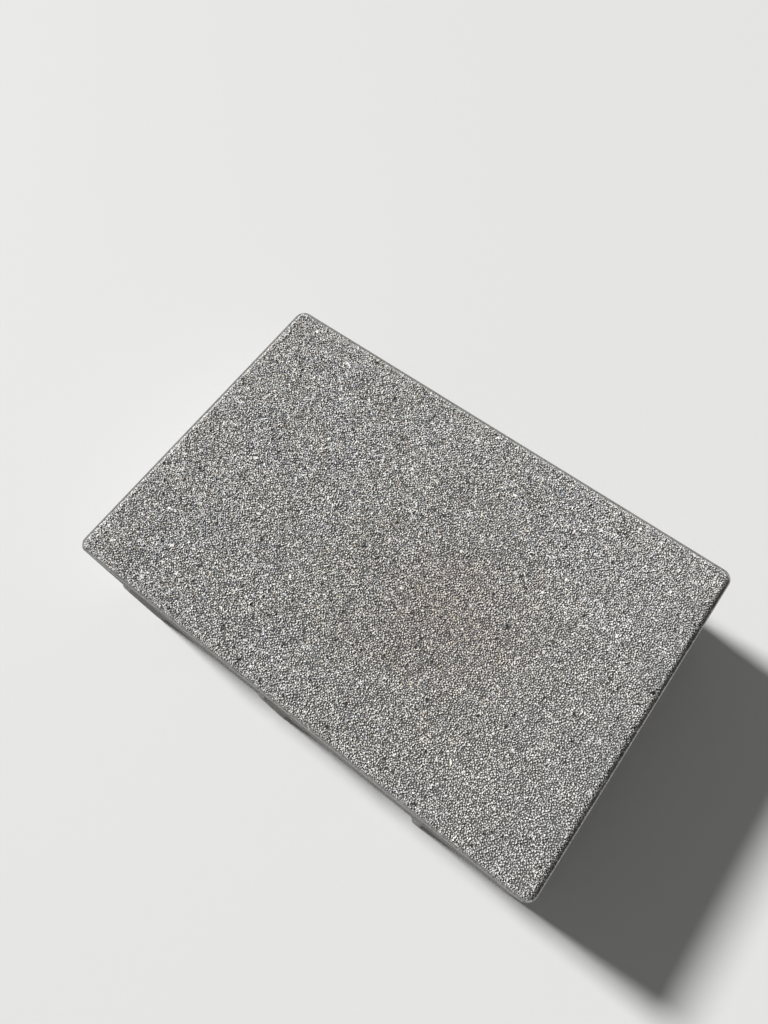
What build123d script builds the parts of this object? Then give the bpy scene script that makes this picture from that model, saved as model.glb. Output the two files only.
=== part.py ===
from build123d import *

import os
from math import floor

# Concrete paving stone, pressed in a steel mould that is then drawn up off it. Millimetres, +Z up.
# The origin is the centre of the bed face, and +X runs along the long side.

# Laying raster, the room that one stone takes up with its share of the joints, and the stone's thickness
raster_length = 300.0
raster_width = 200.0
joint = 3.0
thickness = 80.0

# Wear edge, shaped by the rim of the pressing plate: a soft-shouldered chamfer with a flat lip at its foot
wear_corner_radius = 2.7
chamfer_width = 2.5
chamfer_depth = 2.5
shoulder_radius = 1.5
lip_width = 0.8

# Spacer nibs: upright ribs on the sides that keep the joint open when the stone is laid
laying_play = 1.0
nib_crest = 4.0
nib_flank = 2.0
nib_crest_radius = 0.8
nib_below_top = 12.0
nib_head_height = 4.0
nib_pitch = 100.0
nib_shift = 15.0

length = raster_length - joint
width = raster_width - joint
corner_radius = wear_corner_radius + chamfer_width + lip_width
nib_stand = joint - laying_play
nib_root = nib_crest + 2 * nib_flank
nib_top = thickness - nib_below_top


def outline(inset):
    """The stone's plan, drawn in by inset on every side, round corners included."""
    return RectangleRounded(length - 2 * inset, width - 2 * inset, corner_radius - inset)


def body():
    """Upright sides up to the lip, and on them the chamfered crown with its soft shoulder."""
    lip_height = thickness - chamfer_depth
    sides = extrude(outline(0), lip_height)
    crown_foot = Pos(0, 0, lip_height) * outline(lip_width)
    crown_top = Pos(0, 0, thickness) * outline(lip_width + chamfer_width)
    crown = loft([crown_foot, crown_top], ruled=True)
    wear_face = crown.faces().sort_by(Axis.Z)[-1]
    return sides + fillet(wear_face.edges(), shoulder_radius)


def nib():
    """A nib that stands out towards +Y from a wall at y = 0. Its head slopes back to the wall."""
    foot = nib_root / 2
    crest = nib_crest / 2
    plan = make_face(Polyline((-foot, 0), (foot, 0), (crest, nib_stand), (-crest, nib_stand), close=True))
    rib = extrude(fillet(plan.vertices().group_by(Axis.Y)[-1], nib_crest_radius), nib_top)
    slope_foot = (nib_stand, nib_top - nib_head_height)
    over_head = make_face(Polyline((0, nib_top), slope_foot, (nib_stand, nib_top), close=True))
    return rib - extrude(Plane.YZ * over_head, foot, both=True)


def nib_places(side):
    """Places along one side: a pitch apart about its middle, then shifted the same way round the stone."""
    flat_stretch = side - 2 * (corner_radius + nib_shift) - nib_root
    count = 1 + floor(flat_stretch / nib_pitch)
    return [(i - (count - 1) / 2) * nib_pitch + nib_shift for i in range(count)]


def nibs():
    """Nibs on all four sides. Opposite sides are staggered, so that in any bond no nib meets a nib."""
    walls = [(0, length, width), (90, width, length), (180, length, width), (270, width, length)]
    return [
        Rot(0, 0, turn) * Pos(place, across / 2, 0) * nib()
        for turn, side, across in walls
        for place in nib_places(side)
    ]


paving_stone = body() + nibs()
paving_stone.label = "paving_stone"

os.makedirs("parts", exist_ok=True)
export_step(paving_stone, "parts/paving_stone.step")
print("paving_stone", paving_stone.bounding_box(), round(paving_stone.volume), "cubic mm")
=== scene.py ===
import math

import bpy
from mathutils import Matrix, Vector


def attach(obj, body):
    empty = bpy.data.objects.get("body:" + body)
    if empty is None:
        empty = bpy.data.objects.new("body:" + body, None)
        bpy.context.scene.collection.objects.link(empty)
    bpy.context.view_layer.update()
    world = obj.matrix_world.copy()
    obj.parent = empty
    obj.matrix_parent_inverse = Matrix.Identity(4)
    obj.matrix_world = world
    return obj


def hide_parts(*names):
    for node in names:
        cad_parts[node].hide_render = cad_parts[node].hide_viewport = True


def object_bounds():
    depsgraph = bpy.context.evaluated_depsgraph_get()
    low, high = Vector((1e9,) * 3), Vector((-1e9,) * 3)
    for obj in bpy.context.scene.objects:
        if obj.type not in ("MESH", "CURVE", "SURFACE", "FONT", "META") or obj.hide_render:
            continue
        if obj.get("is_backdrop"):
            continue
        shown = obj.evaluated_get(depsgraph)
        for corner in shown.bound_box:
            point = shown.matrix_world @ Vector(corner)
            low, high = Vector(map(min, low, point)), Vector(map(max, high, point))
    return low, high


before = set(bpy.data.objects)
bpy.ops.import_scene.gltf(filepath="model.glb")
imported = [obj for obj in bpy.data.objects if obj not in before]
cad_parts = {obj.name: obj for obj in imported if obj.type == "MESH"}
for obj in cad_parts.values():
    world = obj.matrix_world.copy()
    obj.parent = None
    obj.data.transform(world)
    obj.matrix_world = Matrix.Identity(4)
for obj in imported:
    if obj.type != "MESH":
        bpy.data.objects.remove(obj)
cad_low, cad_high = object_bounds()

# Stone: one casting of earth-damp concrete, rammed into a steel mould under a plate and stripped at once.
# Its own skin is the cement paste and fine sand that stand between the coarser grit of the wear face, the
# sides with the drag marks of the mould, and the rougher bed face.


class Socket:
    """A node's socket. Arithmetic on it, as on a number, adds the maths nodes that work it out."""

    def __init__(self, link):
        self.link = link
        self.tree = link.id_data

    def node(self, kind, settings=None, inputs=None, output=0):
        """Adds a node of this type to the tree, and gives back one of its outputs."""
        node = self.tree.nodes.new(kind)
        for name, value in (settings or {}).items():
            setattr(node, name, value)
        for name, value in (inputs or {}).items():
            if isinstance(value, Socket):
                self.tree.links.new(value.link, node.inputs[name])
            else:
                node.inputs[name].default_value = value
        return Socket(node.outputs[output])

    def maths(self, operation, *values, reflected=False):
        """The result of a Math node, or of a Vector Math node where a vector or colour takes part."""
        values = [*values, self] if reflected else [self, *values]
        if any(isinstance(v, Socket) and v.link.type in ("VECTOR", "RGBA") for v in values):
            triples = [v if isinstance(v, (Socket, tuple)) else (v, v, v) for v in values]
            output = 1 if operation in ("DOT_PRODUCT", "LENGTH") else 0
            settings = {"operation": operation}
            return self.node("ShaderNodeVectorMath", settings, dict(enumerate(triples)), output)
        return self.node("ShaderNodeMath", {"operation": operation}, dict(enumerate(values)))

    def __add__(self, other):
        return self.maths("ADD", other)

    def __radd__(self, other):
        return self.maths("ADD", other)

    def __sub__(self, other):
        return self.maths("SUBTRACT", other)

    def __rsub__(self, other):
        return self.maths("SUBTRACT", other, reflected=True)

    def __mul__(self, other):
        return self.maths("MULTIPLY", other)

    def __rmul__(self, other):
        return self.maths("MULTIPLY", other)

    def __truediv__(self, other):
        return self.maths("DIVIDE", other)

    def fit(self, low, high, to_low=0.0, to_high=1.0):
        """This number, carried smoothly from one range to another and held inside it."""
        ranges = {"Value": self, "From Min": low, "From Max": high, "To Min": to_low, "To Max": to_high}
        return self.node("ShaderNodeMapRange", {"interpolation_type": "SMOOTHSTEP"}, ranges)

    def part(self, axis):
        """One of the three numbers of a vector."""
        return self.node("ShaderNodeSeparateXYZ", {}, {0: self}, axis)

    def noise(self, size, detail=2.0, roughness=0.5, output=0):
        """Cloudy noise over this place, with lumps of about this size: value 0, colour 1."""
        values = {"Vector": self, "Scale": 1 / size, "Detail": detail, "Roughness": roughness}
        return self.node("ShaderNodeTexNoise", {}, values, output)

    def cells(self, size, output=0):
        """Voronoi cells over this place, of about this size: distance 0, colour 1."""
        return self.node("ShaderNodeTexVoronoi", {}, {"Vector": self, "Scale": 1 / size}, output)

    def mix(self, other, share, blend="MIX"):
        """This colour, carried towards another one by a share from 0 to 1."""
        settings = {"data_type": "RGBA", "blend_type": blend}
        return self.node("ShaderNodeMix", settings, {0: share, 6: self, 7: other}, 2)


def geometry_nodes(piece, build):
    """Puts this piece's mesh through Geometry Nodes that build adds, and applies them."""
    tree = bpy.data.node_groups.new(piece.name, "GeometryNodeTree")
    tree.interface.new_socket("Geometry", in_out="INPUT", socket_type="NodeSocketGeometry")
    tree.interface.new_socket("Geometry", in_out="OUTPUT", socket_type="NodeSocketGeometry")
    result = build(Socket(tree.nodes.new("NodeGroupInput").outputs[0]))
    tree.links.new(result.link, tree.nodes.new("NodeGroupOutput").inputs[0])
    modifier = piece.modifiers.new("shape", "NODES")
    modifier.node_group = tree
    pick(piece)
    bpy.ops.object.modifier_apply(modifier=modifier.name)


def stored(geometry, name, value, domain="POINT"):
    """This geometry with a value kept on it under a name."""
    is_vector = isinstance(value, Socket) and value.link.type == "VECTOR"
    settings = {"data_type": "FLOAT_VECTOR" if is_vector else "FLOAT", "domain": domain}
    inputs = {0: geometry, "Name": name, "Value": value}
    return geometry.node("GeometryNodeStoreNamedAttribute", settings, inputs)


def kept(geometry, name, kind="FLOAT"):
    """The value that was kept on this geometry under a name."""
    return geometry.node("GeometryNodeInputNamedAttribute", {"data_type": kind}, {"Name": name})


def painted(place, name):
    """The number that the mesh keeps under this name, for a material."""
    return place.node("ShaderNodeAttribute", {"attribute_name": name}, {}, 2)


def new_material(name, roughness):
    """A material, its shader, and the place on the piece in millimetres."""
    material = bpy.data.materials.new(name)
    material.use_nodes = True
    shader = material.node_tree.nodes["Principled BSDF"]
    shader.inputs["Roughness"].default_value = roughness
    coordinates = material.node_tree.nodes.new("ShaderNodeTexCoord")
    return material, shader, Socket(coordinates.outputs["Object"]) * 1000.0


def pick(piece):
    """Makes this the one object that operators act on."""
    bpy.ops.object.select_all(action="DESELECT")
    piece.select_set(True)
    bpy.context.view_layer.objects.active = piece


def copy_of(source, name):
    """A copy of an object with a mesh of its own, out of the frame's tree of bodies."""
    piece = bpy.data.objects.new(name, source.data.copy())
    bpy.context.scene.collection.objects.link(piece)
    piece.data.materials.clear()
    return piece


def stops_between(low, high, step):
    """Even places from low to high, no further apart than step, without the two ends."""
    count = math.ceil((high - low) / step)
    return [low + (high - low) * i / count for i in range(1, count)]


MM = 0.001
nib_stand = 2 * MM
lip_level = cad_high.z - 2.5 * MM
edge_band = 4 * MM
side_step = 1.7 * MM
crown_step = 0.6 * MM
face_step = 2.2 * MM
edge_step = 0.8 * MM

stone = copy_of(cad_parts["paving_stone"], "stone")
pick(stone)
bpy.ops.object.mode_set(mode="EDIT")
bpy.ops.mesh.select_all(action="SELECT")
bpy.ops.mesh.remove_doubles(threshold=0.001 * MM)
bpy.ops.mesh.dissolve_limited(angle_limit=math.radians(0.5))
for axis in range(3):
    across = [float(axis == i) for i in range(3)]
    low, high = cad_low[axis], cad_high[axis]
    if axis == 2:
        crown = [lip_level + i * crown_step for i in range(1, 4)]
        places = stops_between(low, lip_level, side_step) + crown
    else:
        inner = high - nib_stand - edge_band
        edge = [inner + i * edge_step for i in range(1, 5)]
        places = stops_between(-inner, inner, face_step) + [-inner, inner] + edge + [-p for p in edge]
    for place in places:
        bpy.ops.mesh.select_all(action="SELECT")
        bpy.ops.mesh.bisect(plane_co=[place * a for a in across], plane_no=across)
bpy.ops.mesh.select_all(action="SELECT")
bpy.ops.mesh.remove_doubles(threshold=0.12 * MM)
bpy.ops.mesh.quads_convert_to_tris(quad_method="BEAUTY", ngon_method="BEAUTY")
bpy.ops.object.mode_set(mode="OBJECT")

half_length = (cad_high.x - nib_stand) / MM
half_width = (cad_high.y - nib_stand) / MM
lip_foot = (77.0, 77.4)
crown_foot = (77.4, 77.8)
drag_depth = 0.5
bed_depth = 1.6
chip_depth = 1.1
fray_depth = 0.4


def inset_of(place):
    """How far in from the upright sides a place is, in millimetres, with the corners rounded off."""
    from_end = half_length - place.part(0).maths("ABSOLUTE")
    from_side = half_width - place.part(1).maths("ABSOLUTE")
    return from_end.maths("SMOOTH_MIN", from_side, 3.0)


def pit_at(place):
    """The small pits of the wear face, where a grain or two has come out: 1 in a pit, 0 elsewhere."""
    return place.noise(2.6, 1.5, 0.6).fit(0.295, 0.315, 1.0, 0.0)


def openness_at(place):
    """How open the wear face's grain is, from 0 where it is close to 1 at the stone's coarsest corner."""
    return 0.5 - place.part(0) / 430.0 + place.part(1) / 670.0


def weathered(mesh):
    """Sinks the paste between the grit, drags the sides, roughens the bed face and frays its arris."""
    place = mesh.node("GeometryNodeInputPosition") * 1000.0
    normal = mesh.node("GeometryNodeInputNormal")
    up = normal.part(2)
    level = place.part(2)
    inset = inset_of(place)
    side = 1.0 - up.maths("ABSOLUTE").fit(0.3, 0.7)
    bed = (up * -1.0).fit(0.3, 0.7)
    wear = up.fit(0.3, 0.6) * level.fit(*crown_foot)
    paste = inset.fit(0.7, 1.6, 0.1, 0.5) + place.noise(4.0) * inset.fit(0.7, 1.6, 0.05, 0.4)
    drag = ((place * (1.0, 1.0, 0.07)).noise(2.6, 3.0) - 0.3).maths("MAXIMUM", 0.0)
    lumps = (place.noise(6.0, 5.0, 0.7) - 0.33).maths("MAXIMUM", 0.0)
    near_arris = level.fit(0.3, 3.5, 1.0, 0.0) * inset.fit(0.3, 3.5, 1.0, 0.0)
    chips = place.noise(5.0, 4.0, 0.75).fit(0.5, 0.72) * chip_depth
    chips = (chips + place.noise(22.0, 2.0).fit(0.5, 0.7) * fray_depth) * near_arris
    depth = wear * paste + side * drag * drag_depth + bed * lumps * bed_depth + chips
    mesh = stored(mesh, "side", side)
    mesh = stored(mesh, "bed", bed)
    inputs = {"Geometry": mesh, "Offset": normal * (depth * -MM)}
    return mesh.node("GeometryNodeSetPosition", {}, inputs)


concrete, shader, place = new_material("pressed_concrete", 0.95)
side = painted(place, "side")
bed = painted(place, "bed")
inset = inset_of(place)
open_face = inset.fit(0.7, 1.6) * place.part(2).fit(*crown_foot)
sand = place.noise(0.5, 3.0, 0.7)
speck = place.cells(1.8, output=1)
grit = (speck.part(0) - 0.5) * (place.cells(1.8) - speck.part(1) * 0.45).fit(-0.1, 0.1, 1.0, 0.0)
cloud = place.noise(45.0, 3.0, 0.6)

# Sides: streaks and smears that slid down the mould, a pale bloom, and nib crests rubbed pale
streaks = (place * (1.0, 1.0, 0.08)).noise(1.2, 5.0, 0.75)
smears = (place * (1.0, 1.0, 0.25)).noise(9.0, 3.0, 0.6)
bloom = place.noise(26.0, 4.0, 0.65).fit(0.52, 0.75)
rubbed_crests = inset.fit(-1.7, -1.2, 1.0, 0.0)

# Pores and pinholes of the sides, and the voids and pebbles that the bed face shows
crooked = place + (place.noise(1.6, 3.0, 0.7, output=1) - 0.5) * 2.6
pore_size = crooked.cells(4.5, output=1).part(0) * place.noise(14.0, 2.0).fit(0.35, 0.65, 0.45, 1.0)
pores = (crooked.cells(4.5) - pore_size * 0.2).fit(0.0, 0.05, 1.0, 0.0) * pore_size.fit(0.45, 0.55)
sparse = place.noise(11.0, 3.0, 0.6).fit(0.4, 0.7, -0.05, 0.045)
pinholes = ((place * (1.0, 1.0, 0.6)).noise(0.9, 2.0, 0.6) - sparse).fit(0.29, 0.37, 1.0, 0.0)
voids = (place.noise(1.7, 4.0, 0.75) - sparse * 1.6).fit(0.3, 0.42, 1.0, 0.0)
holes = side * pores.maths("MAXIMUM", pinholes * 0.8) + bed * voids * 0.6
pebbles = (crooked.cells(6.5, output=1).part(0) - 0.5) * crooked.cells(6.5).fit(0.3, 0.42, 1.0, 0.0)

# Tone of the paste, darker on the speckled lip, with painted shade in every hole, between the grit of the
# wear face and in its pits
paste_tone = 0.3
lip = inset.fit(0.2, 0.6) * inset.fit(1.0, 1.5, 1.0, 0.0) * place.part(2).fit(*lip_foot)
tone = paste_tone + (sand - 0.5) * 0.34 + (cloud - 0.5) * 0.1 + grit * 0.3
side_tone = (streaks - 0.5) * 0.26 + (smears - 0.5) * 0.12 + bloom * 0.05 + rubbed_crests * 0.03
tone = tone + side * side_tone + bed * (pebbles * 0.09 - 0.03)
tone = tone * (1.0 - lip * place.noise(0.9, 2.0, 0.7).fit(0.3, 0.7, 0.65, 0.0))
# Painted shade: the paste is darkened in the pores, pinholes and voids, and between the grit of the wear
# face
tone = tone * (1.0 - holes * 0.65) * (1.0 - open_face * (0.54 + openness_at(place) * 0.22))
# Painted shade in the small pits where grains have come out
tone = tone * (1.0 - open_face * pit_at(place) * 0.8)
warmth = place.noise(30.0, 2.0) - 0.5
red = tone * (1.015 + warmth * 0.1)
blue = tone * (0.955 - warmth * 0.12)
colour = place.node("ShaderNodeCombineColor", {}, {0: red, 1: tone, 2: blue})
relief = sand * 0.5 + grit * 0.5 + streaks * side * 0.6 - holes
bump = place.node("ShaderNodeBump", {}, {"Height": relief, "Distance": 0.5 * MM})
concrete.node_tree.links.new(colour.link, shader.inputs["Base Color"])
concrete.node_tree.links.new(bump.link, shader.inputs["Normal"])


# Grit of the wear face: crushed stone and sand of 0.7 to 2 mm in five minerals, which the plate presses
# flush. The paste between them is washed and worn back, so that every grain stands out with its own colour.


def crushed_grain(i):
    """One crushed grain, about a millimetre across: a wedge or block with broken, uneven corners."""
    bpy.ops.object.select_all(action="DESELECT")
    sides = 4 if i % 3 == 2 else 3
    bpy.ops.mesh.primitive_cone_add(vertices=sides, radius1=0.5 * MM, radius2=0.36 * MM, depth=0.62 * MM)
    grain = bpy.context.object
    grain.name = f"crushed_grain_{i}"
    bpy.ops.object.mode_set(mode="EDIT")
    bpy.ops.mesh.select_all(action="SELECT")
    bpy.ops.transform.vertex_random(offset=0.16 * MM, uniform=1.0, seed=i + 1)
    bpy.ops.transform.resize(value=(1.2, 1.0 - 0.04 * i, 0.85))
    bpy.ops.mesh.convex_hull()
    bpy.ops.mesh.quads_convert_to_tris()
    bpy.ops.object.mode_set(mode="OBJECT")
    return grain


shape_count = 8
grain_shapes = bpy.data.collections.new("grain_shapes")
for i in range(shape_count):
    grain = crushed_grain(i)
    for home in grain.users_collection:
        home.objects.unlink(grain)
    grain_shapes.objects.link(grain)


def random(geometry, seed, low=0.0, high=1.0):
    """A number for each point, evenly spread between two limits, or a vector between two vectors."""
    kind, first, output = ("FLOAT_VECTOR", 0, 0) if isinstance(low, tuple) else ("FLOAT", 2, 1)
    values = {first: low, first + 1: high, "Seed": seed}
    return geometry.node("FunctionNodeRandomValue", {"data_type": kind}, values, output)


coarse_spacing = 1.15 * MM
fine_spacing = 0.75 * MM
apart = 0.64 * MM
missing_share = 0.14
densest = 2e7


def scattered(mesh, spacing, seed):
    """Points spread evenly over the wear face and its chamfer, each with the way it faces."""
    facing = mesh.node("GeometryNodeInputNormal").part(2)
    level = mesh.node("GeometryNodeInputPosition").part(2)
    wear = facing.maths("GREATER_THAN", 0.4) * level.maths("GREATER_THAN", lip_level + 0.1 * MM)
    seats = mesh.node(
        "GeometryNodeDistributePointsOnFaces",
        {"distribute_method": "POISSON"},
        {"Mesh": mesh, "Selection": wear, "Distance Min": spacing, "Density Max": densest, "Seed": seed},
    )
    return stored(seats, "outward", Socket(seats.link.node.outputs["Normal"]))


def strewn(mesh):
    """Seats for the grains: the coarse grit first, and then the fine grit that finds room between it."""
    coarse = stored(scattered(mesh, coarse_spacing, seed=5), "coarse", 1.0)
    missing = random(mesh, seed=9).maths("LESS_THAN", missing_share)
    coarse = mesh.node("GeometryNodeDeleteGeometry", {}, {0: coarse, "Selection": missing})
    fine = stored(scattered(mesh, fine_spacing, seed=6), "coarse", 0.0)
    room = mesh.node("GeometryNodeProximity", {"target_element": "POINTS"}, {"Geometry": coarse}, 1)
    crowded = room.maths("LESS_THAN", apart)
    fine = mesh.node("GeometryNodeDeleteGeometry", {}, {0: fine, "Selection": crowded})
    seats = Socket(mesh.tree.nodes.new("GeometryNodeJoinGeometry").outputs[0])
    mesh.tree.links.new(fine.link, seats.link.node.inputs[0])
    mesh.tree.links.new(coarse.link, seats.link.node.inputs[0])
    return mesh.node("GeometryNodePointsToVertices", {}, {0: seats})


seats = copy_of(stone, "grain_seats")
geometry_nodes(seats, strewn)

plate_gap = 0.02 * MM
sunk_share = 0.25
deepest_facet = 0.36
steepest = 0.5
pebble_luck = 0.993


def grains_of(low, high):
    """Sets a grain on each seat whose lot falls between these two shares, and presses it flush."""

    def build(seats):
        place = seats.node("GeometryNodeInputPosition")
        outward = kept(seats, "outward", "FLOAT_VECTOR")
        coarse = kept(seats, "coarse")
        in_mm = place * 1000.0
        openness = openness_at(in_mm)
        pit = pit_at(in_mm).maths("GREATER_THAN", 0.5)
        buried = inset_of(in_mm).fit(0.6, 1.5, 1.0, 0.0)
        # The coarse grit is mostly of the paler minerals, and the fine grit of the darker ones.
        lot = random(seats, seed=1)
        lot = lot * 0.65 * coarse + (lot * 0.5 + 0.5) * (1.0 - coarse)
        own = lot.maths("GREATER_THAN", low) * (1.0 - lot.maths("GREATER_THAN", high)) * (1.0 - pit)
        luck = random(seats, seed=2)
        pebble = luck.maths("GREATER_THAN", pebble_luck) * coarse
        size = 0.7 + luck.maths("POWER", 3.0) * 0.35 + coarse * (0.2 + luck * 0.25) + pebble * 0.9
        width = size * (1.0 - buried * 0.3) * (0.88 + openness * 0.4)
        drop = random(seats, seed=7).maths("POWER", 2.0) * 0.27 + (1.0 - coarse) * 0.07
        drop = drop * (0.45 + openness * 0.5)
        points = stored(seats, "seat", place)
        points = stored(points, "slope", random(seats, 8, (-steepest,) * 3, (steepest,) * 3))
        points = stored(points, "drop", drop * MM)
        points = stored(points, "width", width * MM)
        sunk = outward * (width * -sunk_share - drop) * MM
        points = seats.node("GeometryNodeSetPosition", {}, {0: points, "Offset": sunk})
        shapes = seats.node(
            "GeometryNodeCollectionInfo",
            {},
            {"Collection": grain_shapes, "Separate Children": True, "Reset Children": True},
        )
        grains = seats.node(
            "GeometryNodeInstanceOnPoints",
            {},
            {
                "Points": points,
                "Selection": own,
                "Instance": shapes,
                "Pick Instance": True,
                "Instance Index": random(seats, 4, 0.0, shape_count - 0.01),
                "Rotation": random(seats, 3, (0.0,) * 3, (math.tau,) * 3),
                "Scale": width,
            },
        )
        own_tone = random(seats, seed=6).maths("MAXIMUM", pebble)
        grains = stored(grains, "own_tone", own_tone, "INSTANCE")
        grains = seats.node("GeometryNodeRealizeInstances", {}, {0: grains})
        reach = place - kept(seats, "seat", "FLOAT_VECTOR")
        slope = reach.maths("DOT_PRODUCT", kept(seats, "slope", "FLOAT_VECTOR"))
        slope = slope.maths("MAXIMUM", kept(seats, "width") * -deepest_facet)
        facet = (slope - kept(seats, "drop")).maths("MINIMUM", -plate_gap)
        height = reach.maths("DOT_PRODUCT", outward)
        proud = (height - facet).maths("MAXIMUM", 0.0)
        grains = stored(grains, "depth", (proud - height) * 1000.0)
        below_plate = (place - outward * proud).maths("MINIMUM", (1.0, 1.0, cad_high.z - plate_gap))
        return seats.node("GeometryNodeSetPosition", {}, {0: grains, "Position": below_plate})

    return build


def crevice_shade_at(place):
    """The crooked gaps between the lumps that the grains stick together in, where the grains get painted
    shade: 1 in a gap, 0 on a lump.
    """
    settings = {"voronoi_dimensions": "2D", "feature": "DISTANCE_TO_EDGE"}
    gap = place.node("ShaderNodeTexVoronoi", settings, {"Vector": place, "Scale": 1 / 1.5})
    return gap.fit(0.02, 0.2, 1.0, 0.0)


def stained(colour, place):
    """The wear face's colour with the soft brownish stain beside its middle."""
    from_stain = (place - (40.0, -12.0, 80.0)) * (1.0, 1.1, 0.0)
    reach = from_stain.maths("LENGTH") + place.noise(22.0, 3.0) * 50.0
    return colour.mix((0.87, 0.81, 0.775, 1.0), reach.fit(15.0, 130.0, 0.95, 0.0), "MULTIPLY")


def frosted(colour, place):
    """The wear face's colour with the pale lime bloom that lies in patches along its edges."""
    patches = place.noise(16.0, 3.0, 0.6).fit(0.38, 0.6)
    edge = inset_of(place).fit(2.0, 28.0, 0.55, 0.0) + place.part(0).fit(70.0, 148.0, 0.0, 0.55)
    frost = patches * edge + place.noise(9.0, 4.0, 0.7).fit(0.58, 0.7) * 0.15
    return colour.mix((0.72, 0.715, 0.7, 1.0), frost)


def soiled_and_shaded(colour, place):
    """The wear face's colour with paste on the rim, and a near-black mix of grime and painted shade in the
    chamfer, mostly at the +X end that faces away from the sun.
    """
    inset = inset_of(place)
    colour = colour.mix((0.33, 0.325, 0.31, 1.0), inset.fit(0.6, 1.6, 0.6, 0.0))
    chamfer = inset.fit(0.7, 1.0) * inset.fit(1.2, 2.4, 1.0, 0.0)
    patches = place.noise(5.0, 2.0).fit(0.3, 0.7, 0.4, 1.0)
    dirt_and_shade = chamfer * patches * place.part(0).fit(140.0, 147.0, 0.25, 0.85)
    # Partly grime, partly painted shade on the +X chamfer, which faces away from the sun
    return colour.mix((0.06, 0.055, 0.05, 1.0), dirt_and_shade)


grain_brightness = 1.245
gap_shade = 0.22
palest = (0.92, 0.91, 0.88)

# Each mineral's share of the lots, from and to, and its own colour
minerals = {
    "quartz_grains": (0.0, 0.17, (0.95, 0.93, 0.89)),
    "limestone_grains": (0.17, 0.41, (0.87, 0.87, 0.85)),
    "sandstone_grains": (0.41, 0.58, (0.88, 0.815, 0.73)),
    "greywacke_grains": (0.58, 0.76, (0.77, 0.775, 0.765)),
    "basalt_grains": (0.76, 1.0, (0.60, 0.61, 0.64)),
}
for name, (low, high, hue) in minerals.items():
    piece = copy_of(seats, name)
    geometry_nodes(piece, grains_of(low, high))
    skin, shader, place = new_material(name, 0.6)
    own_tone = painted(place, "own_tone")
    depth = painted(place, "depth")
    coarse = painted(place, "coarse")
    openness = openness_at(place)
    speckle = place.noise(0.25, 2.0, 0.6)
    strength = grain_brightness + (own_tone - 0.5) * (0.75 + openness * 0.35) + (speckle - 0.5) * 0.4
    # Painted shade: each grain gets darker down its sides, the deeper it sits below the plate
    strength = strength * depth.fit(0.25, 0.6, 1.0, gap_shade)
    # Painted shade along the crooked gaps between lumps, stronger where the grit is open
    strength = strength * (1.0 - crevice_shade_at(place) * openness * 0.25)
    strength = strength * (1.05 + coarse * openness * 0.28 - (1.0 - coarse) * openness * 0.35)
    strength = strength * place.part(0).fit(30.0, 140.0, 1.0, 1.19)
    warmth = (place.noise(3.0, 4.0, 0.7) - 0.5) * 0.75 + (place.noise(40.0, 2.0) - 0.5) * 0.3
    redness = ((place + (31.0, 17.0, 5.0)).noise(4.0, 3.0, 0.7) - 0.5) * 0.3
    red = strength * hue[0] * (1.01 + redness + warmth * 0.3)
    blue = strength * hue[2] * (0.98 - warmth * 0.7)
    tint = place.node("ShaderNodeCombineColor", {}, {0: red, 1: strength * hue[1], 2: blue})
    tint = stained(tint.maths("MINIMUM", palest), place)
    tint = soiled_and_shaded(frosted(tint, place), place)
    skin.node_tree.links.new(tint.link, shader.inputs["Base Color"])
    piece.data.materials.clear()
    piece.data.materials.append(skin)
    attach(piece, "root")

bpy.data.objects.remove(seats)

# The stone's own skin is weathered last, once every grain has its seat: the grains lie in the smooth face
# that the plate pressed, and the paste is washed out between them.
geometry_nodes(stone, weathered)
stone.data.materials.append(concrete)
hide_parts("paving_stone")
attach(stone, "root")

# Studio: a plain pale floor, a hazy sun that shines in over the stone's -X end, and a camera that looks
# down on the wear face at the photograph's angle.
bpy.ops.object.select_all(action="DESELECT")
bpy.ops.mesh.primitive_plane_add(size=6)
floor = bpy.context.object
floor.name = "floor"
paint = bpy.data.materials.new("floor_paint")
paint.use_nodes = True
paint.node_tree.nodes["Principled BSDF"].inputs["Base Color"].default_value = (0.78, 0.78, 0.77, 1)
paint.node_tree.nodes["Principled BSDF"].inputs["Roughness"].default_value = 0.8
floor.data.materials.append(paint)
floor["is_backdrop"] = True

world = bpy.data.worlds.new("studio")
world.use_nodes = True
world.node_tree.nodes["Background"].inputs["Color"].default_value = (1, 1, 1, 1)
world.node_tree.nodes["Background"].inputs["Strength"].default_value = 0.15
bpy.context.scene.world = world
sun_height = math.radians(38)
sun = bpy.data.objects.new("sun", bpy.data.lights.new("sun", "SUN"))
sun.data.energy = 4.35
sun.data.angle = math.radians(9)
sun.rotation_euler = Vector((1, 0, -math.tan(sun_height))).to_track_quat("-Z", "Y").to_euler()
bpy.context.scene.collection.objects.link(sun)

camera = bpy.data.objects.new("camera", bpy.data.cameras.new("camera"))
camera.data.lens = 27.035
target = Vector((-22.43, 17.51, 80)) * MM
distance = 425.54 * MM
turn = Matrix.Rotation(math.radians(42.32), 4, "Z")
turn @= Matrix.Rotation(math.radians(23.32), 4, "X") @ Matrix.Rotation(math.radians(-5.64), 4, "Z")
camera.matrix_world = Matrix.Translation(target) @ turn @ Matrix.Translation((0, 0, distance))
bpy.context.scene.collection.objects.link(camera)
bpy.context.scene.camera = camera
bpy.context.scene.view_settings.view_transform = "Standard"

low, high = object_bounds()
